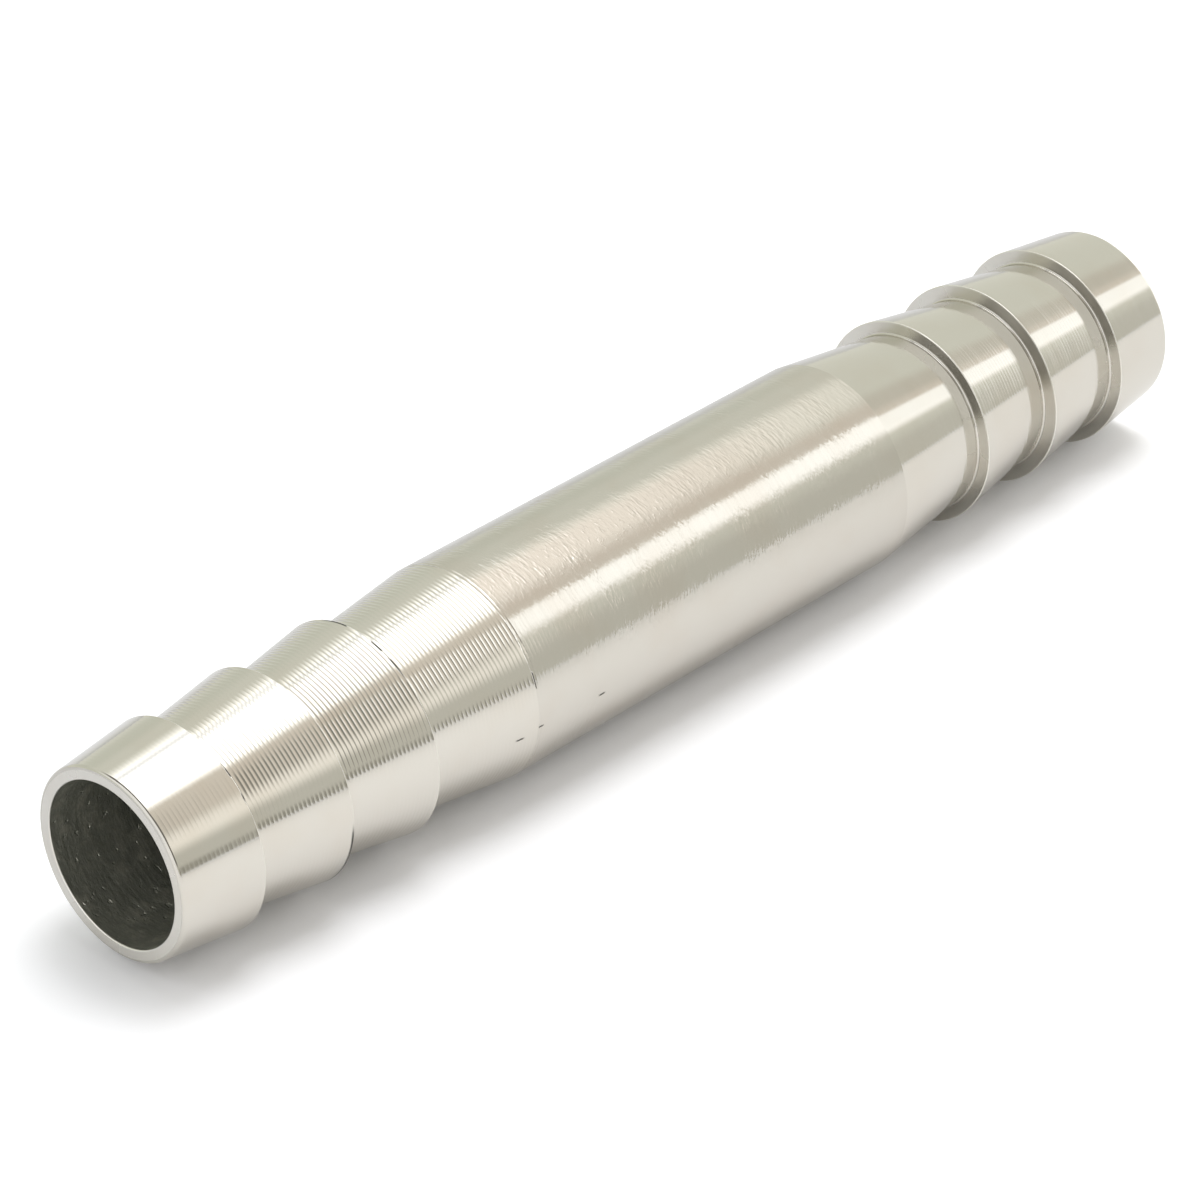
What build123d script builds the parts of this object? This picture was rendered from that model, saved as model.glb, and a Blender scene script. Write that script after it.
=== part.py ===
from build123d import *
import os

# Double-ended hose barb tail, turned from one length of round tube.
#
# Both ends are alike. Counted from an end face, each has a row of barbs, whose tapers rise
# towards the middle and drop at a square shoulder with a small conical relief at its root, then
# one longer taper that runs up to the plain barrel. The tube stands on one end face, with its
# axis along Z and that face's centre at the origin.

# Driving dimensions, in millimetres.
overall_length = 50.0
barrel_diameter = 8.0
bore_diameter = 6.0
nose_diameter = 7.0

barb_count = 3
first_barb_length = 3.2
barb_pitch = 3.88
last_taper_length = 4.6
first_crest_diameter = 7.75
crest_growth = 0.08
root_diameter = 6.66
last_root_diameter = 6.86

root_relief = 0.22
nose_round = 0.15
bore_chamfer = 0.06

# Heights above the end face of one barbed end's shoulders, and the radii above and below them.
shoulder_heights = [first_barb_length + barb_pitch * barb for barb in range(barb_count)]
crest_radii = [(first_crest_diameter + crest_growth * barb) / 2 for barb in range(barb_count)]
root_radii = [root_diameter / 2] * (barb_count - 1) + [last_root_diameter / 2]
barrel_start = shoulder_heights[-1] + last_taper_length

# Corners of one barbed end's outside, as (radius, height) from its end face to the barrel.
nose_corner = (nose_diameter / 2, 0.0)
crest_corners = list(zip(crest_radii, shoulder_heights))
root_corners = list(zip(root_radii, shoulder_heights))
barb_corners = [corner for pair in zip(crest_corners, root_corners) for corner in pair]
lower_end = [nose_corner, *barb_corners, (barrel_diameter / 2, barrel_start)]
bore_corner = (bore_diameter / 2, 0.0)


def at_upper_end(corners):
    """Return the upper end's matching corners, from the barrel to the upper end face."""
    return [(radius, overall_length - height) for radius, height in reversed(corners)]


def at_both_ends(corners):
    """Return the lower end's corners followed by the upper end's."""
    return [*corners, *at_upper_end(corners)]


def section_vertices(section, corners):
    """Return the vertices of the wall's section that lie at the given corners."""
    spots = [Vector(radius, height) for radius, height in at_both_ends(corners)]
    vertices = section.sketch_local.vertices()
    return [v for v in vertices if any((Vector(v) - spot).length < 1e-6 for spot in spots)]


# The whole tube is one turned solid: the section of its wall, revolved about the axis.
with BuildPart() as barbed_tail:
    with BuildSketch(Plane.XZ) as wall_section:
        with BuildLine():
            Polyline(*at_both_ends(lower_end), *reversed(at_both_ends([bore_corner])), close=True)
        make_face()
        chamfer(section_vertices(wall_section, root_corners), root_relief)
        fillet(section_vertices(wall_section, [nose_corner]), nose_round)
        chamfer(section_vertices(wall_section, [bore_corner]), bore_chamfer)
    revolve(axis=Axis.Z)

barbed_tail.part.label = "barbed_tail"

os.makedirs("parts", exist_ok=True)
export_step(barbed_tail.part, "parts/barbed_tail.step")
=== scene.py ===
"""Double-ended hose barb tail: the turned steel tube dressed for its portrait.

The tube stands on one end face with its axis along Z. The camera looks at it as it would look
at a tube lying on its side, so the plain pale floor is an upright sheet that touches the barrel
at +Y, and the camera is rolled to match.

Lengths in the classes are millimetres unless a name says otherwise, and MM turns them into
metres where a mesh, lamp, camera or material is made. Bearings round the tube are in degrees,
from -Y and positive towards -X, which is the camera's side.
"""

import logging
from dataclasses import dataclass, field
from enum import Enum
from math import pi, radians

import bpy
import numpy as np
from mathutils import Matrix, Vector

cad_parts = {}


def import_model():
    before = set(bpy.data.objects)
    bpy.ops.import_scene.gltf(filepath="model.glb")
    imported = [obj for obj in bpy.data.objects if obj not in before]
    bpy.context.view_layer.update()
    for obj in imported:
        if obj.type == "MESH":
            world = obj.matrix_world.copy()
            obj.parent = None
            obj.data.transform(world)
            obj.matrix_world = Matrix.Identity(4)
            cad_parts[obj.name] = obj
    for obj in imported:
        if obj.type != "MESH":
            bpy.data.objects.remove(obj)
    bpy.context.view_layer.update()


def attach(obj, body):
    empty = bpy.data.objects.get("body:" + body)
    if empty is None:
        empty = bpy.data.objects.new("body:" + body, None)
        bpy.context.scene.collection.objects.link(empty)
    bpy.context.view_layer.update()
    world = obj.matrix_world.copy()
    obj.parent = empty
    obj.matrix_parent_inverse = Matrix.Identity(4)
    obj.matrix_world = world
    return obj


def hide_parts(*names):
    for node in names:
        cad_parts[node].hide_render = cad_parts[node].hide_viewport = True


LOG = logging.getLogger("barbed_tail")
MM = 0.001
NODE = "barbed_tail"

# A Mix node has sockets for every kind of data: these are the places of the ones for colours.
MIX_COLOURS = (6, 7)
MIX_RESULT = 2

Span = tuple[float, float]
Colour = tuple[float, float, float, float]
Socket = bpy.types.NodeSocket
Value = Socket | float | tuple[float, ...]


class Zone(Enum):
    """The four ways in which the tube's surface was finished; the value is its material slot."""

    TURNED = 0
    POLISHED = 1
    FACED = 2
    BORED = 3


# ---------------------------------------------------------------------------------------------
# Sizes
# ---------------------------------------------------------------------------------------------


@dataclass(frozen=True)
class TubeSizes:
    """Sizes of the tube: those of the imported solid, with the barrel a hair inside its facets."""

    length: float = 50.0
    barrel_radius: float = 3.995
    bore_radius: float = 3.0
    nose_radius: float = 3.5
    barb_count: int = 3
    first_barb: float = 3.2
    barb_pitch: float = 3.88
    last_taper: float = 4.6
    first_crest_radius: float = 3.875
    crest_growth: float = 0.04
    root_radius: float = 3.33
    last_root_radius: float = 3.43
    nose_round: float = 0.15
    crest_round: float = 0.035
    root_fillet: float = 0.14
    lower_root_fillet: float = 0.08
    bore_round: float = 0.06

    def shoulders(self) -> list[float]:
        """Return each shoulder's distance from its end face."""
        return [self.first_barb + self.barb_pitch * barb for barb in range(self.barb_count)]

    def crests(self) -> list[float]:
        """Return the radius of each barb's crest."""
        return [self.first_crest_radius + self.crest_growth * barb for barb in range(self.barb_count)]

    def roots(self) -> list[float]:
        """Return the radius below each shoulder."""
        return [self.root_radius] * (self.barb_count - 1) + [self.last_root_radius]

    def barrel_start(self) -> float:
        """Return the barrel's distance from the end face."""
        return self.shoulders()[-1] + self.last_taper


@dataclass(frozen=True)
class FeedMarks:
    """The tool's feed marks: one shallow scallop for each turn of the work.

    A strength is a share of the full depth, and each taper has its own. Where the last taper
    meets the barrel there is one deep turn, run_out long, and then the marks fade away over
    barrel_run. The tube's lower end has lower_end_share of every strength.
    """

    pitch: float = 0.165
    depth: float = 0.009
    taper_strengths: tuple[float, ...] = (0.1, 0.6, 0.92, 0.92)
    lower_end_share: float = 0.08
    run_out: float = 0.165
    run_out_strength: float = 1.6
    barrel_run: float = 1.3
    barrel_strength: float = 0.35


# ---------------------------------------------------------------------------------------------
# The tube's outline, as stretches of (radius, height) points with their normals
# ---------------------------------------------------------------------------------------------


@dataclass(frozen=True)
class Stretch:
    """A run of the outline: its points, the normals that start and end each step, and its zone."""

    points: np.ndarray
    start_normals: np.ndarray
    end_normals: np.ndarray
    zone: Zone

    def mirrored(self, length: float) -> "Stretch":
        """Return this stretch on the other end of the tube, walked the other way.

        Args:
            length: The tube's length; heights become length less height.

        Returns:
            The mirrored stretch.
        """
        flip = np.array([1.0, -1.0])
        points = self.points[::-1] * flip + np.array([0.0, length])
        return Stretch(
            points, self.end_normals[::-1] * flip, self.start_normals[::-1] * flip, self.zone
        )


@dataclass(frozen=True)
class Corner:
    """A corner of the outline and how the edge that leaves it is made.

    The edge's zone is its finish, marks is the strength of the feed marks along it, and fading
    says that they die away towards its end.
    """

    radius: float
    height: float
    rounding: float = 0.0
    zone: Zone = Zone.TURNED
    marks: float = 0.0
    fading: bool = False

    def at(self) -> np.ndarray:
        """Return the corner's place as an array."""
        return np.array([self.radius, self.height])


def outward(direction: np.ndarray) -> np.ndarray:
    """Return the normal to the right of a direction in the (radius, height) plane."""
    return np.stack([direction[..., 1], -direction[..., 0]], axis=-1)


def plain_stretch(start: np.ndarray, end: np.ndarray, zone: Zone, steps: int = 1) -> Stretch:
    """Return a straight stretch in equal steps.

    Args:
        start: First point.
        end: Last point.
        zone: Finish.
        steps: Number of steps.

    Returns:
        The stretch, with one normal all along it.
    """
    share = np.linspace(0.0, 1.0, steps + 1)[:, None]
    along = (end - start) / np.linalg.norm(end - start)
    normals = np.tile(outward(along), (steps, 1))
    return Stretch(start + share * (end - start), normals, normals, zone)


def marked_stretch(
    start: np.ndarray, end: np.ndarray, zone: Zone, feed: FeedMarks, strengths: Span
) -> Stretch:
    """Return a straight stretch cut into scallops, one for each turn.

    A scallop is a parabola below the straight line: it meets the line at both cusps and is
    deepest midway, so its slope runs evenly from -4 depth/pitch to +4 depth/pitch. Two steps
    draw it, with the slope carried by the normals at the cusps and at the valley.

    Args:
        start: First point.
        end: Last point.
        zone: Finish.
        feed: Pitch and depth of the marks.
        strengths: Share of the full depth at the start and at the end.

    Returns:
        The stretch.
    """
    length = float(np.linalg.norm(end - start))
    along = (end - start) / length
    normal = outward(along)
    turns = max(1, round(length / feed.pitch))
    pitch = length / turns
    share = np.linspace(0.0, 1.0, 2 * turns + 1)
    depth = feed.depth * np.interp(share, (0.0, 1.0), strengths)
    valley = np.arange(2 * turns + 1) % 2 == 1
    points = start + share[:, None] * (end - start) - (depth * valley)[:, None] * normal
    slope = 4.0 * depth / pitch
    # Going into a valley the surface falls, so its normal leans forward; coming out, back.
    into = normal + slope[:-1, None] * along
    out_of = normal - slope[1:, None] * along
    starts = np.where(valley[:-1, None], normal, into)
    ends = np.where(valley[1:, None], normal, out_of)
    return Stretch(points, unit(starts), unit(ends), zone)


def unit(vectors: np.ndarray) -> np.ndarray:
    """Return the vectors scaled to length one."""
    return vectors / np.linalg.norm(vectors, axis=-1, keepdims=True)


def rounded_corner(
    before: np.ndarray, corner: Corner, after: np.ndarray, steps: int
) -> tuple[np.ndarray, np.ndarray]:
    """Return the arc that rounds a corner, as points and their normals.

    The centre lies on the corner's bisector, rounding / sin(half the angle) away, and the arc
    runs from one tangent point to the other in equal turns of the normal.

    Args:
        before: The corner before.
        corner: The corner that is rounded.
        after: The corner after.
        steps: Steps along the arc.

    Returns:
        The arc's points and its normals.
    """
    arriving = unit(corner.at() - before)
    leaving = unit(after - corner.at())
    turn = arriving[0] * leaving[1] - arriving[1] * leaving[0]
    side = 1.0 if turn > 0 else -1.0
    angles = np.arctan2(outward(arriving)[1], outward(arriving)[0]) + np.linspace(
        0.0, np.arctan2(turn, arriving @ leaving), steps + 1
    )
    normals = np.stack([np.cos(angles), np.sin(angles)], axis=-1)
    bisector = unit(leaving - arriving)
    half_angle = np.arccos(np.clip(-(arriving @ leaving), -1.0, 1.0)) / 2
    centre = corner.at() + bisector * corner.rounding / np.sin(half_angle)
    return centre + side * corner.rounding * normals, normals


# ---------------------------------------------------------------------------------------------
# Shader nodes
# ---------------------------------------------------------------------------------------------


class NodeGraph:
    """A short way to write a node tree: a method adds its nodes and returns what they give."""

    def __init__(self, tree: bpy.types.NodeTree) -> None:
        """Start on an emptied tree."""
        self.tree = tree
        tree.nodes.clear()

    def add(self, kind: str, **settings: object) -> bpy.types.Node:
        """Add a node.

        Args:
            kind: The type of node.
            **settings: Properties to set on it, by name.

        Returns:
            The node.
        """
        node = self.tree.nodes.new(kind)
        for name, value in settings.items():
            setattr(node, name, value)
        return node

    def plug(self, node: bpy.types.Node, socket: str | int, value: Value) -> None:
        """Set an input to a number, vector or colour, or link an output to it.

        Args:
            node: The node that has the input.
            socket: The input's name, or its place among the inputs.
            value: What the input gets.
        """
        if isinstance(value, Socket):
            self.tree.links.new(value, node.inputs[socket])
        else:
            node.inputs[socket].default_value = value

    def math(self, operation: str, *values: Value) -> Socket:
        """Work a Math node's operation on values.

        Args:
            operation: The operation.
            *values: Its values in order.

        Returns:
            The result.
        """
        node = self.add("ShaderNodeMath", operation=operation)
        for index, value in enumerate(values):
            self.plug(node, index, value)
        return node.outputs[0]

    def smooth(self, value: Value, span: Span, shares: Span = (0.0, 1.0)) -> Socket:
        """Carry a value smoothly from one span to another, and hold it at the ends.

        Args:
            value: The value to carry.
            span: The two values at which the change starts and ends.
            shares: The results at those two.

        Returns:
            The value carried over.
        """
        node = self.add("ShaderNodeMapRange", interpolation_type="SMOOTHSTEP")
        for index, entry in enumerate((value, *span, *shares)):
            self.plug(node, index, entry)
        return node.outputs[0]

    def mix(self, factor: Value, first: Value, second: Value) -> Socket:
        """Blend two colours.

        Args:
            factor: Share of the second one.
            first: Colour at a factor of 0.
            second: Colour at a factor of 1.

        Returns:
            The blend.
        """
        node = self.add("ShaderNodeMix", data_type="RGBA")
        self.plug(node, "Factor", factor)
        for socket, value in zip(MIX_COLOURS, (first, second)):
            self.plug(node, socket, value)
        return node.outputs[MIX_RESULT]

    def round_tube(self, x: Value, y: Value) -> Socket:
        """Work out the bearing round the tube, which is atan2(-x, -y).

        Args:
            x: Place along X.
            y: Place along Y.

        Returns:
            The bearing in degrees, from -Y and positive towards -X.
        """
        aside = self.math("MULTIPLY", x, -1.0)
        ahead = self.math("MULTIPLY", y, -1.0)
        return self.math("MULTIPLY", self.math("ARCTAN2", aside, ahead), 180 / pi)

    def within(self, value: Value, span: Span, softs: Span) -> Socket:
        """Tell whether a value is inside a span, with each edge softened.

        Args:
            value: The value to test.
            span: The span's lower and upper edges, where the result is a half.
            softs: The widths over which the two edges fade.

        Returns:
            1 inside the span and 0 outside it.
        """
        (low, high), (low_soft, high_soft) = span, softs
        rising = self.smooth(value, (low - low_soft / 2, low + low_soft / 2))
        falling = self.smooth(value, (high - high_soft / 2, high + high_soft / 2), (1.0, 0.0))
        return self.math("MULTIPLY", rising, falling)

    def seen(self) -> Socket:
        """Tell the rays that see a thing from those that it lights.

        Returns:
            1 for camera, glossy and transmission rays, and 0 for the rest.
        """
        rays = self.add("ShaderNodeLightPath")
        glossy = self.math("MAXIMUM", rays.outputs["Is Glossy Ray"], rays.outputs["Is Transmission Ray"])
        return self.math("MAXIMUM", rays.outputs["Is Camera Ray"], glossy)

    def object_place(self) -> tuple[Socket, ...]:
        """Read the object's own coordinates, which are in metres.

        Returns:
            The vector, then its X, Y and Z.
        """
        vector = self.add("ShaderNodeTexCoord").outputs["Object"]
        split = self.add("ShaderNodeSeparateXYZ")
        self.plug(split, 0, vector)
        return (vector, *split.outputs)

    def bump(self, height: Value, distance: float) -> Socket:
        """Tilt the surface by a height field.

        Args:
            height: The height.
            distance: What a height of 1 stands for, in metres.

        Returns:
            The normal.
        """
        node = self.add("ShaderNodeBump")
        self.plug(node, "Strength", 1.0)
        self.plug(node, "Distance", distance)
        self.plug(node, "Height", height)
        return node.outputs[0]

    def finish(self, shader: bpy.types.Node) -> None:
        """Send a shader to the material's surface."""
        output = self.add("ShaderNodeOutputMaterial")
        self.plug(output, "Surface", shader.outputs[0])


def new_material(name: str) -> tuple[bpy.types.Material, NodeGraph]:
    """Start a material.

    Args:
        name: Its name.

    Returns:
        The material, and the graph of its emptied tree.
    """
    material = bpy.data.materials.new(name)
    material.use_nodes = True
    return material, NodeGraph(material.node_tree)


def metres(span: Span) -> Span:
    """Return a span of millimetres in metres."""
    return span[0] * MM, span[1] * MM


# ---------------------------------------------------------------------------------------------
# Finishes
# ---------------------------------------------------------------------------------------------


@dataclass(frozen=True)
class Grain:
    """Noise drawn out along the axes, by its waves for each metre of X, Y and Z."""

    waves: tuple[float, float, float]
    detail: float = 2.0
    rough: float = 0.5

    def noise(self, graph: NodeGraph, vector: Value) -> Socket:
        """Read the noise.

        Args:
            graph: The tree to write in.
            vector: The place to read it at, in metres.

        Returns:
            The noise, from 0 to 1 and mostly near 0.5.
        """
        mapping = graph.add("ShaderNodeMapping")
        graph.plug(mapping, "Vector", vector)
        graph.plug(mapping, "Scale", self.waves)
        texture = graph.add("ShaderNodeTexNoise")
        graph.plug(texture, "Vector", mapping.outputs[0])
        graph.plug(texture, "Scale", 1.0)
        graph.plug(texture, "Detail", self.detail)
        graph.plug(texture, "Roughness", self.rough)
        return texture.outputs[0]


@dataclass(frozen=True)
class Mark:
    """A small dark mark painted on the tube: a nick, or a burr left along a crest whose dark line is a
    painted dark reflection.

    It reaches half_turn degrees and half_height millimetres to each side of its place, which is
    a bearing and a distance from the upper end. Its ends fade over soft_share of half_turn.
    """

    bearing: float
    from_end: float
    half_turn: float
    half_height: float
    broken: bool = False
    soft_share: float = 0.4

    def mask(self, graph: NodeGraph, bearing: Value, z: Value, breaks: Value) -> Socket:
        """Tell where the mark is.

        Args:
            graph: The tree to write in.
            bearing: Bearing round the tube, in degrees.
            z: Height, in metres.
            breaks: Noise that breaks the mark up where it is a broken one.

        Returns:
            The mark's strength, from 0 off it to 1 on it.
        """
        height = (TubeSizes().length - self.from_end) * MM
        half = self.half_height * MM
        span = (height - half, height + half)
        along = graph.within(z, span, (half, half))
        turn = (self.bearing - self.half_turn, self.bearing + self.half_turn)
        soft = self.half_turn * self.soft_share
        mask = graph.math("MULTIPLY", along, graph.within(bearing, turn, (soft, soft)))
        return graph.math("MULTIPLY", mask, breaks) if self.broken else mask


@dataclass(frozen=True)
class Patch:
    """A patch on the barrel, worn and with a painted warm reflection in brown: its reach round the tube
    and down it from the upper end.

    The softs say over how wide a band its edges fade, in degrees round the tube and in
    millimetres at its bottom and top.
    """

    bearings: Span = (10.0, 31.0)
    from_end: Span = (15.6, 29.0)
    bearing_soft: float = 10.0
    bottom_soft: float = 8.0
    top_soft: float = 0.1

    def mask(self, graph: NodeGraph, bearing: Value, z: Value) -> Socket:
        """Tell where the patch is.

        Args:
            graph: The tree to write in.
            bearing: Bearing round the tube, in degrees.
            z: Height, in metres.

        Returns:
            The patch's strength, from 0 off it to 1 on it.
        """
        top, bottom = (TubeSizes().length - distance for distance in self.from_end)
        down = graph.within(z, metres((bottom, top)), metres((self.bottom_soft, self.top_soft)))
        turn = graph.within(bearing, self.bearings, (self.bearing_soft, self.bearing_soft))
        return graph.math("MULTIPLY", down, turn)


@dataclass(frozen=True)
class SteelFinish:
    """One finish of bare stainless steel.

    The colour drifts to the tint in clouds. Scratches run round the tube: their noise is drawn
    out round the axis and short along it, and the roughness follows it. The barrel also has
    hairs, which are short scratches that come in clumps and fade towards the tube's lower end,
    and a worn patch with specks in it, where a warm reflection is painted into the colour in brown.
    A finish may have dark marks; where a mark is a burr along a crest, its dark is a painted dark
    reflection. A field that ends in _span is the part of a noise's range over which its effect
    sets in. Depths and heights are in millimetres.
    """

    name: str
    colour: Colour = (0.565, 0.547, 0.502, 1.0)
    tint: Colour = (0.555, 0.528, 0.478, 1.0)
    clouds: Grain = Grain((420.0, 420.0, 420.0), detail=3.0)
    cloud_span: Span = (0.42, 0.72)
    roughness: Span = (0.12, 0.2)
    anisotropy: float = 0.5
    anisotropy_turn: float = 0.25
    scratches: Grain = Grain((260.0, 260.0, 11000.0), detail=3.0, rough=0.6)
    scratch_span: Span = (0.3, 0.7)
    scratch_depth: float = 0.0008
    hairs: Grain = Grain((2400.0, 2400.0, 7500.0), rough=0.55)
    hair_middle: float = 0.5
    hair_depth: float = 0.0
    hair_fade_heights: Span = (8.0, 34.0)
    hair_fade_shares: Span = (0.4, 1.0)
    clumps: Grain = Grain((300.0, 300.0, 900.0))
    clump_span: Span = (0.4, 0.62)
    clump_shares: Span = (0.4, 1.4)
    patch: Patch | None = None
    patch_painted_reflection_colour: Colour = (0.53, 0.488, 0.443, 1.0)
    patch_painted_reflection_share: float = 0.8
    specks: Grain = Grain((4600.0, 4600.0, 6000.0), detail=3.0, rough=0.6)
    speck_span: Span = (0.54, 0.7)
    speck_depth: float = 0.0035
    marks: tuple[Mark, ...] = ()
    dark_mark_and_reflection_colour: Colour = (0.07, 0.066, 0.06, 1.0)
    mark_depth: float = 0.03
    breaks: Grain = Grain((1600.0, 1600.0, 1600.0))
    break_span: Span = (0.42, 0.52)

    def material(self) -> bpy.types.Material:
        """Make the finish as a material.

        The relief is a height in metres: the scratches, then what the finish has of hairs,
        specks and marks added to them or cut out of them.

        Returns:
            The material.
        """
        material, graph = new_material(self.name)
        vector, x, y, z = graph.object_place()
        bearing = graph.round_tube(x, y)
        streaks = self.scratches.noise(graph, vector)
        clouds = graph.smooth(self.clouds.noise(graph, vector), self.cloud_span)
        colour = graph.mix(clouds, self.colour, self.tint)
        height = graph.math("MULTIPLY", streaks, self.scratch_depth * MM)
        if self.hair_depth:
            height = graph.math("ADD", height, self.haired(graph, vector, z))
        if self.patch:
            # The patch's brown tint is a painted warm reflection, and its specks are real wear.
            worn = self.patch.mask(graph, bearing, z)
            painted_reflection_share = graph.math("MULTIPLY", worn, self.patch_painted_reflection_share)
            colour = graph.mix(painted_reflection_share, colour, self.patch_painted_reflection_colour)
            height = graph.math("ADD", height, self.specked(graph, vector, worn))
        if self.marks:
            # The nicks are dark, and on each burr along a crest the dark is a painted dark reflection.
            dark = self.marked(graph, vector, bearing, z)
            colour = graph.mix(dark, colour, self.dark_mark_and_reflection_colour)
            height = graph.math("SUBTRACT", height, graph.math("MULTIPLY", dark, self.mark_depth * MM))
        shader = graph.add("ShaderNodeBsdfPrincipled")
        graph.plug(shader, "Base Color", colour)
        graph.plug(shader, "Metallic", 1.0)
        graph.plug(shader, "Roughness", graph.smooth(streaks, self.scratch_span, self.roughness))
        graph.plug(shader, "Anisotropic", self.anisotropy)
        graph.plug(shader, "Anisotropic Rotation", self.anisotropy_turn)
        tangent = graph.add("ShaderNodeTangent", direction_type="RADIAL", axis="Z")
        graph.plug(shader, "Tangent", tangent.outputs[0])
        graph.plug(shader, "Normal", graph.bump(height, 1.0))
        graph.finish(shader)
        return material

    def haired(self, graph: NodeGraph, vector: Value, z: Value) -> Socket:
        """Work out the hairs' relief: their noise about its middle, stronger in the clumps.

        Args:
            graph: The tree to write in.
            vector: The place on the tube, in metres.
            z: Height, in metres.

        Returns:
            The relief, in metres.
        """
        hairs = self.hairs.noise(graph, vector)
        clumps = graph.smooth(self.clumps.noise(graph, vector), self.clump_span, self.clump_shares)
        fade = graph.smooth(z, metres(self.hair_fade_heights), self.hair_fade_shares)
        strength = graph.math("MULTIPLY", clumps, fade)
        hairs = graph.math("MULTIPLY", graph.math("SUBTRACT", hairs, self.hair_middle), strength)
        return graph.math("MULTIPLY", hairs, self.hair_depth * MM)

    def specked(self, graph: NodeGraph, vector: Value, worn: Value) -> Socket:
        """Return the specks' relief in metres, which is none outside the worn patch."""
        specks = graph.smooth(self.specks.noise(graph, vector), self.speck_span)
        return graph.math("MULTIPLY", graph.math("MULTIPLY", worn, specks), self.speck_depth * MM)

    def marked(self, graph: NodeGraph, vector: Value, bearing: Value, z: Value) -> Socket:
        """Tell where the marks are.

        Args:
            graph: The tree to write in.
            vector: The place on the tube, in metres.
            bearing: Bearing round the tube, in degrees.
            z: Height, in metres.

        Returns:
            The strength of the strongest mark there.
        """
        breaks = graph.smooth(self.breaks.noise(graph, vector), self.break_span)
        dark: Value = 0.0
        for mark in self.marks:
            dark = graph.math("MAXIMUM", dark, mark.mask(graph, bearing, z, breaks))
        return dark


@dataclass(frozen=True)
class BoreFinish:
    """The drilled bore: dull, dark and uneven, with torn patches, scratches round it and pits.

    The relief's unit is relief_depth millimetres, and the other depths are shares of it.
    """

    name: str = "drilled_bore"
    dark: Colour = (0.36, 0.365, 0.315, 1.0)
    light: Colour = (0.52, 0.515, 0.445, 1.0)
    metallic: float = 0.85
    roughness: float = 0.45
    torn: Grain = Grain((1100.0, 1100.0, 1500.0), detail=4.0, rough=0.65)
    torn_span: Span = (0.45, 0.7)
    scored: Grain = Grain((700.0, 700.0, 5200.0))
    scored_depth: float = 0.3
    pits: Grain = Grain((2600.0, 2600.0, 3400.0))
    pit_span: Span = (0.64, 0.76)
    pit_depth: float = 0.5
    relief_depth: float = 0.06

    def material(self) -> bpy.types.Material:
        """Make the finish as a material.

        Returns:
            The material, lighter where the metal is torn.
        """
        material, graph = new_material(self.name)
        vector = graph.object_place()[0]
        torn = self.torn.noise(graph, vector)
        scored = graph.math("MULTIPLY", self.scored.noise(graph, vector), self.scored_depth)
        pits = graph.smooth(self.pits.noise(graph, vector), self.pit_span, (0.0, self.pit_depth))
        relief = graph.math("SUBTRACT", graph.math("ADD", torn, scored), pits)
        colour = graph.mix(graph.smooth(torn, self.torn_span), self.dark, self.light)
        shader = graph.add("ShaderNodeBsdfPrincipled")
        graph.plug(shader, "Base Color", colour)
        graph.plug(shader, "Metallic", self.metallic)
        graph.plug(shader, "Roughness", self.roughness)
        graph.plug(shader, "Normal", graph.bump(relief, self.relief_depth * MM))
        graph.finish(shader)
        return material


# ---------------------------------------------------------------------------------------------
# The tube
# ---------------------------------------------------------------------------------------------


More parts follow.
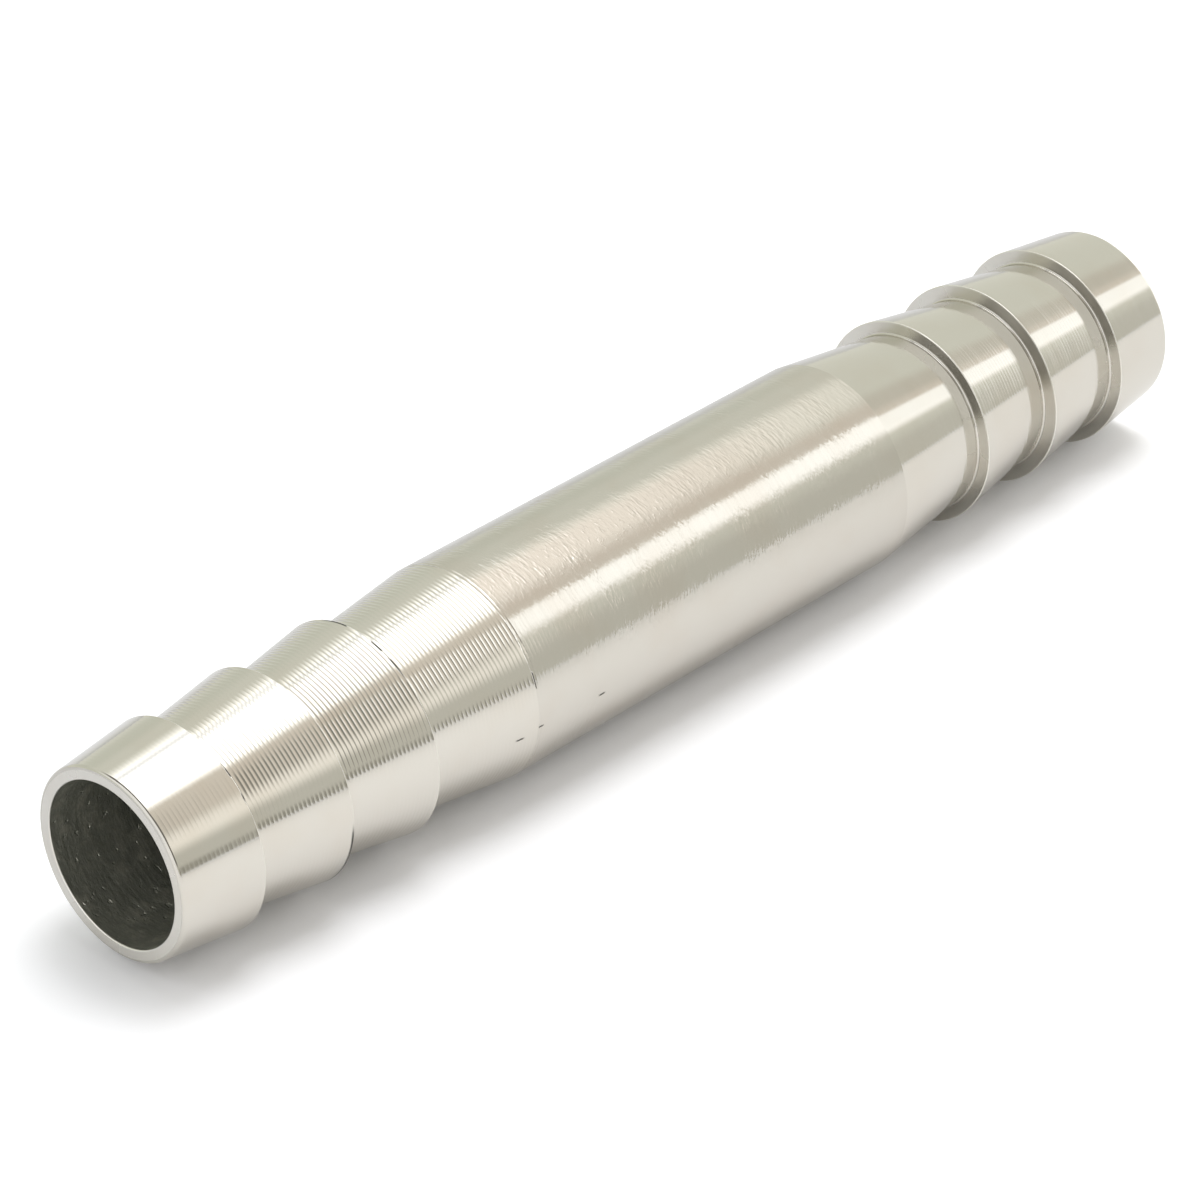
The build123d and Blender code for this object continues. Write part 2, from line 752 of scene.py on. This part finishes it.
@dataclass
class BarbedTail:
    """The whole tube as one closed surface: its outline revolved about Z."""

    sizes: TubeSizes = field(default_factory=TubeSizes)
    feed: FeedMarks = field(default_factory=FeedMarks)
    steps_round: int = 180
    arc_steps: int = 6
    barrel_steps: int = 12

    def corners(self, share: float, root_fillet: float) -> list[Corner]:
        """Return a lower half's corners, from the bore's middle out and up to the barrel's.

        Args:
            share: Share of the full feed marks that this end has.
            root_fillet: Radius of the fillet below each shoulder.

        Returns:
            The corners in order.
        """
        sizes = self.sizes
        middle = sizes.length / 2
        strengths = [strength * share for strength in self.feed.taper_strengths]
        corners = [
            Corner(sizes.bore_radius, middle, 0.0, Zone.BORED),
            Corner(sizes.bore_radius, 0.0, sizes.bore_round, Zone.FACED),
            Corner(sizes.nose_radius, 0.0, sizes.nose_round, Zone.TURNED, strengths[0]),
        ]
        barbs = zip(sizes.shoulders(), sizes.crests(), sizes.roots(), strengths[1:])
        for shoulder, crest, root, strength in barbs:
            corners.append(Corner(crest, shoulder, sizes.crest_round, Zone.FACED))
            corners.append(Corner(root, shoulder, root_fillet, Zone.TURNED, strength))
        barrel = sizes.barrel_radius
        start = sizes.barrel_start()
        run_out = start + self.feed.run_out
        run_end = run_out + self.feed.barrel_run
        run_out_marks = self.feed.run_out_strength * share
        barrel_marks = self.feed.barrel_strength * share
        return corners + [
            Corner(barrel, start, 0.0, Zone.POLISHED, run_out_marks),
            Corner(barrel, run_out, 0.0, Zone.POLISHED, barrel_marks, fading=True),
            Corner(barrel, run_end, 0.0, Zone.POLISHED),
            Corner(barrel, middle, 0.0, Zone.POLISHED),
        ]

    def half_outline(self, share: float, root_fillet: float) -> list[Stretch]:
        """Return a lower half's stretches in order.

        Args:
            share: Share of the full feed marks that this end has.
            root_fillet: Radius of the fillet below each shoulder.

        Returns:
            The stretches, from the bore's middle round the end and up to the barrel's middle.
        """
        corners = self.corners(share, root_fillet)
        stretches = []
        start = corners[0].at()
        for index, (corner, following) in enumerate(zip(corners, corners[1:])):
            if corner.rounding:
                arc, normals = rounded_corner(
                    corners[index - 1].at(), corner, following.at(), self.arc_steps
                )
                stretches.append(Stretch(arc, normals[:-1], normals[1:], corner.zone))
                start = arc[-1]
            end = following.at()
            if following.rounding:
                after = corners[index + 2].at()
                end = rounded_corner(corner.at(), following, after, 1)[0][0]
            stretches.append(self.edge(corner, start, end))
            start = end
        return stretches

    def edge(self, corner: Corner, start: np.ndarray, end: np.ndarray) -> Stretch:
        """Return the stretch that leaves a corner.

        Args:
            corner: The corner, which says how the stretch is finished and marked.
            start: Where the stretch starts, past the corner's rounding.
            end: Where it ends, before the next corner's rounding.

        Returns:
            The stretch, with feed marks where the corner asks for them.
        """
        if corner.marks:
            strengths = (corner.marks, 0.0 if corner.fading else corner.marks)
            return marked_stretch(start, end, corner.zone, self.feed, strengths)
        long_edge = abs(end[1] - start[1]) > self.sizes.last_taper
        return plain_stretch(start, end, corner.zone, self.barrel_steps if long_edge else 1)

    def outline(self) -> list[Stretch]:
        """Return the closed outline.

        Returns:
            The lower half's stretches, from the bore's middle to the barrel's, and then the
            upper half's, from the barrel's middle back to the bore's.
        """
        lower = self.half_outline(self.feed.lower_end_share, self.sizes.lower_root_fillet)
        marked = self.half_outline(1.0, self.sizes.root_fillet)
        upper = [stretch.mirrored(self.sizes.length) for stretch in reversed(marked)]
        return lower + upper

    def mesh(self) -> bpy.types.Mesh:
        """Return the revolved mesh with its own normals.

        A point of the outline at (radius, height) turned by an angle lies at
        (radius cos angle, radius sin angle, height), and its normal turns with it.

        Returns:
            The closed mesh, with each face's zone as its material's place.
        """
        outline = self.outline()
        points = np.concatenate([stretch.points[:-1] for stretch in outline])
        starts = np.concatenate([stretch.start_normals for stretch in outline])
        ends = np.concatenate([stretch.end_normals for stretch in outline])
        zones = np.concatenate(
            [np.full(len(stretch.start_normals), stretch.zone.value) for stretch in outline]
        )
        rows, columns = len(points), self.steps_round
        angle = np.arange(columns) * 2 * pi / columns
        ring = np.stack([np.cos(angle), np.sin(angle)], axis=-1)

        vertices = np.empty((rows, columns, 3))
        vertices[..., :2] = points[:, None, :1] * ring[None] * MM
        vertices[..., 2] = points[:, None, 1] * MM

        row, column = np.meshgrid(np.arange(rows), np.arange(columns), indexing="ij")
        next_row, next_column = (row + 1) % rows, (column + 1) % columns
        # Corners of each face: along the turn first, so that the face looks outwards.
        corner_rows = np.stack([row, row, next_row, next_row], axis=-1)
        corner_columns = np.stack([column, next_column, next_column, column], axis=-1)
        faces = corner_rows * columns + corner_columns

        flat = np.stack([starts, starts, ends, ends], axis=1)
        flat = np.broadcast_to(flat[:, None], (rows, columns, 4, 2))
        turned = ring[corner_columns]
        normals = np.concatenate([flat[..., :1] * turned, flat[..., 1:]], axis=-1)

        mesh = bpy.data.meshes.new(NODE)
        mesh.from_pydata(vertices.reshape(-1, 3), [], faces.reshape(-1, 4))
        mesh.polygons.foreach_set("material_index", np.repeat(zones, columns).astype(np.int32))
        mesh.polygons.foreach_set("use_smooth", np.ones(rows * columns, dtype=bool))
        mesh.update()
        mesh.normals_split_custom_set(normals.reshape(-1, 3))
        return mesh

    def build(self) -> bpy.types.Object:
        """Build the tube and dress it.

        Returns:
            The finished piece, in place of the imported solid.
        """
        piece = bpy.data.objects.new("turned_tail", self.mesh())
        bpy.context.scene.collection.objects.link(piece)
        for material in self.finishes():
            piece.data.materials.append(material)
        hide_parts(NODE)
        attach(piece, "root")
        return piece

    def finishes(self) -> list[bpy.types.Material]:
        """Make the tube's materials, with each burr on its crests drawn as a painted dark reflection,
        and the nicks on its side.

        Returns:
            The materials in the order of the zones.
        """
        upper_crests = [shoulder - self.sizes.crest_round for shoulder in self.sizes.shoulders()]
        # Each burr's dark line along a crest is a painted dark reflection.
        burr_reflection_marks = (
            Mark(8.0, upper_crests[2], 28.0, 0.036, broken=True),
            Mark(116.0, upper_crests[1], 22.0, 0.055),
            Mark(40.0, upper_crests[0], 12.0, 0.022, broken=True),
        )
        taper_nick = Mark(97.8, 14.78, 0.45, 0.15)
        barrel_nicks = (
            Mark(95.2, 15.66, 0.4, 0.12),
            Mark(96.9, 18.64, 0.5, 0.13),
            Mark(69.4, 15.62, 4.0, 0.022),
        )
        made = {
            Zone.TURNED: SteelFinish(
                "turned_steel_barbs",
                colour=(0.60, 0.582, 0.535, 1.0),
                tint=(0.59, 0.565, 0.512, 1.0),
                roughness=(0.08, 0.13),
                anisotropy=0.3,
                marks=burr_reflection_marks + (taper_nick,),
            ),
            Zone.POLISHED: SteelFinish(
                "polished_steel_barrel",
                roughness=(0.12, 0.19),
                anisotropy=0.6,
                scratch_depth=0.0012,
                hair_depth=0.016,
                patch=Patch(),
                marks=barrel_nicks,
            ),
            # The faced steel is paler than the turned steel: its own finish with painted light laid on,
            # which lifts the end faces and shoulders.
            Zone.FACED: SteelFinish(
                "faced_steel_end_painted_lighter",
                colour=(0.71, 0.695, 0.645, 1.0),
                tint=(0.685, 0.66, 0.605, 1.0),
                roughness=(0.25, 0.35),
                anisotropy=0.0,
                marks=burr_reflection_marks,
            ),
            Zone.BORED: BoreFinish(),
        }
        return [made[zone].material() for zone in Zone]


# ---------------------------------------------------------------------------------------------
# The studio
# ---------------------------------------------------------------------------------------------


@dataclass(frozen=True)
class SoftLight:
    """A soft light on the tent, by its bearing round the tube and its height along it.

    Heights may lie far below the tube's lower end or above its upper one. The softs say over how
    wide a band each edge fades. A light darker than the cloth stands for shade.
    """

    name: str
    bearings: Span
    heights: Span
    colour: Colour
    bearing_softs: Span = (12.0, 12.0)
    height_soft: float = 30.0

    def share(self, graph: NodeGraph, bearing: Value, height: Value) -> Socket:
        """Return how much of this light shows at a place on the tent.

        Args:
            graph: The tree to write in.
            bearing: The place's bearing, in degrees.
            height: Its height, in millimetres.

        Returns:
            The share, from 0 to 1.
        """
        turn = graph.within(bearing, self.bearings, self.bearing_softs)
        along = graph.within(height, self.heights, (self.height_soft, self.height_soft))
        return graph.math("MULTIPLY", turn, along)


@dataclass
class LightTent:
    """A half-round tent of cloth round the tube, lit from outside by soft lights.

    Each light is laid over those before it.
    """

    radius: float = 120.0
    half_length: float = 700.0
    steps: int = 64
    cloth: Colour = (0.92, 0.925, 0.83, 1.0)
    lights: tuple[SoftLight, ...] = (
        SoftLight("back_dusk", (-82, -60), (-90, 600), (0.82, 0.84, 0.74, 1.0), (14, 14)),
        SoftLight("skirt", (60, 91), (-600, 600), (0.775, 0.765, 0.69, 1.0), (18, 1)),
        SoftLight("wash", (44, 66), (-38, 600), (1.34, 1.29, 1.20, 1.0), (16, 14)),
        SoftLight("gap", (9, 48), (-600, 600), (0.97, 0.90, 0.80, 1.0), (14, 14)),
        SoftLight("overhead", (-31, 8), (-84, 600), (1.55, 1.50, 1.40, 1.0), (20, 22), 44.0),
        SoftLight("overhead_near", (-33, 15), (-26, 600), (3.1, 3.1, 3.1, 1.0), (28, 12), 20.0),
        SoftLight("seam", (-31, -26), (-30, 600), (1.36, 1.38, 1.42, 1.0), (4, 4)),
        SoftLight("gap_far", (-4, 18), (-600, -125), (0.80, 0.77, 0.68, 1.0), (16, 12), 60.0),
        SoftLight("key", (27, 47), (-600, -28), (1.84, 1.84, 1.82, 1.0), (5, 12), 20.0),
        SoftLight("key_far", (27, 45), (-600, -118), (1.6, 1.6, 1.57, 1.0), (5, 12), 30.0),
        SoftLight("lens_dusk", (27, 54), (16, 66), (0.38, 0.37, 0.33, 1.0), (14, 16), 18.0),
        SoftLight("rib_shade", (-36, 20), (29, 48), (0.90, 0.89, 0.84, 1.0), (10, 10), 12.0),
        SoftLight("floor_edge", (83, 91), (3, 66), (0.42, 0.41, 0.36, 1.0), (5, 1), 14.0),
        SoftLight("room_dusk", (-42, 80), (44, 110), (0.22, 0.21, 0.19, 1.0), (16, 10), 14.0),
        SoftLight("high_fill", (-60, 88), (118, 600), (1.25, 1.25, 1.25, 1.0), (14, 10), 24.0),
        SoftLight("low_fill", (-88, 88), (-700, -230), (2.6, 2.6, 2.6, 1.0), (10, 10), 50.0),
    )

    def build(self) -> bpy.types.Object:
        """Build the tent: a half cylinder about Z, open at both ends, facing the tube.

        A point of the cloth at a bearing lies at (-radius sin bearing, -radius cos bearing).

        Returns:
            The tent, which the camera doesn't see and which casts no shadow.
        """
        bearing = np.linspace(-pi / 2, pi / 2, self.steps + 1)
        vertices = np.empty((2, self.steps + 1, 3))
        vertices[..., 0] = -self.radius * MM * np.sin(bearing)
        vertices[..., 1] = -self.radius * MM * np.cos(bearing)
        vertices[..., 2] = np.array([-self.half_length, self.half_length])[:, None] * MM
        start = np.arange(self.steps)
        upper = start + self.steps + 1
        faces = np.stack([start, start + 1, upper + 1, upper], axis=-1)
        mesh = bpy.data.meshes.new("light_tent")
        mesh.from_pydata(vertices.reshape(-1, 3), [], faces)
        tent = bpy.data.objects.new("light_tent", mesh)
        bpy.context.scene.collection.objects.link(tent)
        tent.visible_camera = False
        tent.visible_shadow = False
        mesh.materials.append(self.material())
        return tent

    def material(self) -> bpy.types.Material:
        """Make the lit cloth, whose brightness depends on the bearing and the height.

        Returns:
            The cloth: each light's colour laid over the last by its share.
        """
        material, graph = new_material("lit_cloth")
        _, x, y, z = graph.object_place()
        bearing = graph.round_tube(x, y)
        height = graph.math("DIVIDE", z, MM)
        colour: Value = self.cloth
        for light in self.lights:
            colour = graph.mix(light.share(graph, bearing, height), colour, light.colour)
        glow = graph.add("ShaderNodeEmission")
        graph.plug(glow, "Color", colour)
        graph.plug(glow, "Strength", 1.0)
        graph.finish(glow)
        return material


@dataclass
class FloorLamp:
    """A broad lamp over the tube that lights the floor and shows in no reflection.

    It shines along +Y, leaning a little towards +Z, so that the tube keeps a short shadow
    past its upper end. The half width and the lean are angles in degrees.
    """

    irradiance: float = 0.9
    half_width: float = 15.0
    lean: float = 10.0

    def build(self) -> bpy.types.Object:
        """Build the lamp.

        A sun shines along its own -Z, and a quarter turn about X takes that to +Y.

        Returns:
            The lamp, turned to shine on the floor sheet.
        """
        quarter_turn = 90.0
        data = bpy.data.lights.new("floor_lamp", "SUN")
        data.energy = self.irradiance
        data.angle = radians(2 * self.half_width)
        lamp = bpy.data.objects.new("floor_lamp", data)
        bpy.context.scene.collection.objects.link(lamp)
        lamp.rotation_euler = (radians(quarter_turn + self.lean), 0.0, 0.0)
        lamp.visible_glossy = False
        return lamp


@dataclass
class FloorSheet:
    """The plain pale floor: an upright sheet that touches the barrel, seen from its front.

    Its paint carries painted shade, which the steel shows in its reflections and which dims the light
    the sheet throws back.
    It is paler on the camera's side of the tube than behind it, where painted shade stands for light
    falling off away from the tube.
    It is a little greyer again further back, and greyer towards the tube's lower end. What the camera
    sees of it is one plain white.
    The spans are along X, along X and along Z, and shades are the shares of painted shade at the last
    one's ends.
    """

    touch_y: float = 4.0
    half_side_m: float = 1.6
    front_paint: Colour = (0.985, 0.982, 1.0, 1.0)
    behind_shaded_paint: Colour = (0.69, 0.695, 0.73, 1.0)
    distant_shaded_paint: Colour = (0.66, 0.665, 0.68, 1.0)
    camera_paint: Colour = (0.955, 0.965, 1.0, 1.0)
    shade_paint: Colour = (0.0, 0.0, 0.0, 1.0)
    front_to_back: Span = (-6.0, 8.0)
    back_to_distant: Span = (20.0, 60.0)
    lower_to_upper: Span = (-12.0, 40.0)
    shades: Span = (0.17, 0.02)

    def build(self) -> bpy.types.Object:
        """Build the sheet as one square face.

        Returns:
            The sheet, which faces -Y.
        """
        side, y = self.half_side_m, self.touch_y * MM
        corners = [(-side, y, -side), (side, y, -side), (side, y, side), (-side, y, side)]
        mesh = bpy.data.meshes.new("floor_sheet")
        mesh.from_pydata(corners, [], [(0, 1, 2, 3)])
        sheet = bpy.data.objects.new("floor_sheet", mesh)
        bpy.context.scene.collection.objects.link(sheet)
        mesh.materials.append(self.material())
        return sheet

    def material(self) -> bpy.types.Material:
        """Make the sheet's paint.

        Returns:
            Matt paint with painted shade in it, which is clear from behind.
        """
        material, graph = new_material("pale_floor")
        _, x, _, z = graph.object_place()
        # Painted shade: darker paint behind the tube, further back and towards its lower end stands in
        # for light that falls off there.
        behind = graph.smooth(x, metres(self.front_to_back))
        distant_shade = graph.smooth(x, metres(self.back_to_distant))
        shade = graph.smooth(z, metres(self.lower_to_upper), self.shades)
        colour = graph.mix(behind, self.front_paint, self.behind_shaded_paint)
        colour = graph.mix(distant_shade, colour, self.distant_shaded_paint)
        colour = graph.mix(shade, colour, self.shade_paint)
        by_camera = graph.add("ShaderNodeLightPath").outputs["Is Camera Ray"]
        matt = graph.add("ShaderNodeBsdfDiffuse")
        graph.plug(matt, "Color", graph.mix(by_camera, colour, self.camera_paint))
        front_or_back = graph.add("ShaderNodeMixShader")
        graph.plug(front_or_back, 0, graph.add("ShaderNodeNewGeometry").outputs["Backfacing"])
        graph.plug(front_or_back, 1, matt.outputs[0])
        graph.plug(front_or_back, 2, graph.add("ShaderNodeBsdfTransparent").outputs[0])
        graph.finish(front_or_back)
        return material


@dataclass
class Surroundings:
    """The white world beyond the tent, of one strength where it is seen and one where it fills."""

    strength: float = 1.0
    fill: float = 0.9

    def build(self) -> bpy.types.World:
        """Build the world.

        Returns:
            The world: white to what sees it, and a soft fill to what it lights.
        """
        world = bpy.data.worlds.new("white_room")
        bpy.context.scene.world = world
        world.use_nodes = True
        graph = NodeGraph(world.node_tree)
        background = graph.add("ShaderNodeBackground")
        graph.plug(background, "Color", (1.0, 1.0, 1.0, 1.0))
        strength = graph.smooth(graph.seen(), (0.0, 1.0), (self.fill, self.strength))
        graph.plug(background, "Strength", strength)
        output = graph.add("ShaderNodeOutputWorld")
        graph.plug(output, "Surface", background.outputs[0])
        return world


@dataclass
class PortraitCamera:
    """The camera: a long lens that looks down the tube from beyond its upper end.

    Its right and forward directions fix its turn; right is squared to forward as it is built.
    """

    place: tuple[float, float, float] = (-101.36, -92.44, 133.37)
    right: tuple[float, float, float] = (-0.72295, 0.0, -0.6909)
    forward: tuple[float, float, float] = (0.58401, 0.53432, -0.6111)
    lens_mm: float = 149.37
    sensor_mm: float = 36.0
    clip_start_m: float = 0.001
    clip_end_m: float = 10.0

    def build(self) -> bpy.types.Object:
        """Build the camera and make it the scene's.

        Returns:
            The camera, turned so that the floor sheet lies level below the tube.
        """
        data = bpy.data.cameras.new("portrait")
        data.sensor_width = self.sensor_mm
        data.lens = self.lens_mm
        data.clip_start = self.clip_start_m
        data.clip_end = self.clip_end_m
        camera = bpy.data.objects.new("portrait", data)
        bpy.context.scene.collection.objects.link(camera)
        back = -Vector(self.forward).normalized()
        right = Vector(self.right)
        right = (right - back * right.dot(back)).normalized()
        up = back.cross(right)
        turn = Matrix((right, up, back)).transposed()
        camera.matrix_world = Matrix.Translation(Vector(self.place) * MM) @ turn.to_4x4()
        bpy.context.scene.camera = camera
        return camera


def main() -> None:
    """Build the tube, the studio and the camera in order, and report each."""
    logging.basicConfig(level=logging.INFO, format="%(name)s: %(message)s")
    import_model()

    tail = BarbedTail().build()
    LOG.info("%s: %d faces", tail.name, len(tail.data.polygons))
    for part in (LightTent(), FloorLamp(), FloorSheet(), Surroundings(), PortraitCamera()):
        LOG.info("%s is in place", part.build().name)
    bpy.context.scene.view_settings.view_transform = "Standard"


if __name__ == "__main__":
    main()
